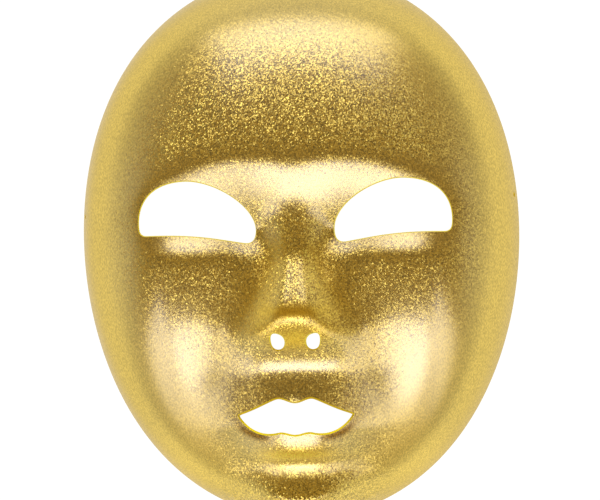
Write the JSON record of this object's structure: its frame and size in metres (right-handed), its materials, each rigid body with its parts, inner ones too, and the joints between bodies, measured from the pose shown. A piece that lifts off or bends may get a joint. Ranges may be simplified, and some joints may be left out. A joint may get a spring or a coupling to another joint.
{
  "type": "party mask",
  "caption": "Full-face party mask: a thin moulded plastic shell with open eyes, nostrils and parted lips, a flat rim and a small strap hole at each side.",
  "frame": {"origin": "centre of the rim's footprint, on the plane that the rim rests on", "axes": "+Z out of the face, +Y towards the forehead, +X to the right of someone looking at the face"},
  "size_m": [0.1808, 0.2272, 0.0557],
  "materials": {
    "gold_plastic": "thin plastic sheet with a sparkling metallic gold front and a plain satin back"
  },
  "bodies": {
    "root": {"mask_shell": "gold_plastic"}
  },
  "joints": []
}
